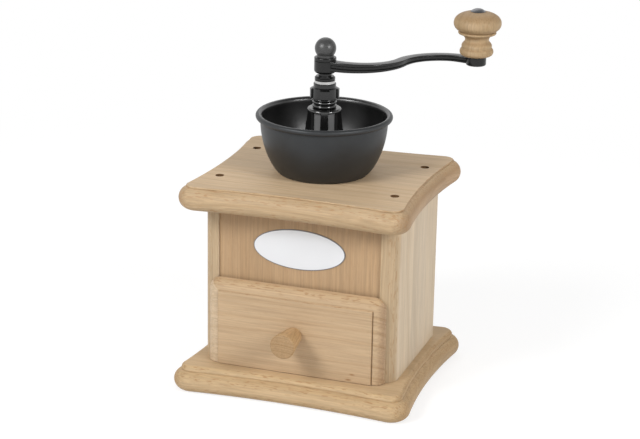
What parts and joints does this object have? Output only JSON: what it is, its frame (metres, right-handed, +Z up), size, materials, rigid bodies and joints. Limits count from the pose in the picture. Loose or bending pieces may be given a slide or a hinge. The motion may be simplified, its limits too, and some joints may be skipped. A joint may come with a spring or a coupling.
{
  "type": "hand grain mill",
  "caption": "Table-top hand grain mill: beech case with a meal drawer, black steel hopper bowl, conical burrs under a cast bell, an adjusting nut and an S-shaped crank with a turned knob.",
  "frame": {"origin": "middle of the base board's underside, on the mill's turning axis", "axes": "+Z up, -Y the way the drawer opens, +X to the right seen from the drawer"},
  "size_m": [0.1951, 0.1558, 0.2626],
  "materials": {
    "beech": "satin",
    "black_steel": "satin",
    "bright_steel": "satin",
    "burr_iron": "matte",
    "bronze": "satin",
    "white_enamel": "gloss"
  },
  "bodies": {
    "case": {"base_plate": "beech", "top_plate": "beech", "left_side": "beech", "right_side": "beech", "front_panel": "beech", "back_panel": "beech", "oval_plate": "white_enamel", "top_screws": "bright_steel", "base_screws": "bright_steel", "hopper_bowl": "black_steel", "bell": "black_steel", "mill_screws": "bright_steel", "outer_burr": "burr_iron", "lower_bridge": "burr_iron", "bridge_screws": "bright_steel", "upper_bush": "bronze", "lower_bush": "bronze"},
    "washer": {"thrust_washer": "black_steel"},
    "spindle": {"spindle": "bright_steel", "inner_burr": "burr_iron", "burr_pin": "bright_steel", "lock_collar": "black_steel", "crank_arm": "black_steel", "ball_nut": "black_steel", "knob_pin": "bright_steel"},
    "nut": {"adjusting_nut": "black_steel", "spring_washer": "bright_steel"},
    "knob": {"crank_knob": "beech"},
    "drawer": {"drawer_front": "beech", "drawer_left": "beech", "drawer_right": "beech", "drawer_back": "beech", "drawer_floor": "beech", "drawer_knob": "beech", "drawer_knob_screw": "bright_steel"}
  },
  "joints": [
    {"name": "crank_turn", "type": "hinge", "parent": "case", "child": "washer", "pos_m": [0, 0, 0.2018], "axis": [0, 0, 1], "continuous": true},
    {"name": "grind_lift", "type": "slide", "parent": "washer", "child": "spindle", "axis": [0, 0, 1], "range_m": [0, 0.001]},
    {"name": "nut_turn", "type": "hinge", "parent": "washer", "child": "nut", "pos_m": [0, 0, 0.2078], "axis": [0, 0, 1], "range_deg": [0, 360]},
    {"name": "knob_spin", "type": "hinge", "parent": "spindle", "child": "knob", "pos_m": [0.09271, 0.05139, 0.2598], "axis": [0, 0, 1], "continuous": true},
    {"name": "drawer_slide", "type": "slide", "parent": "case", "child": "drawer", "axis": [0, -1, 0], "range_m": [0, 0.07]}
  ],
  "couplings": [
    {"joint": "nut_turn", "follows": "grind_lift", "rad_per_m": 6283.2}
  ]
}
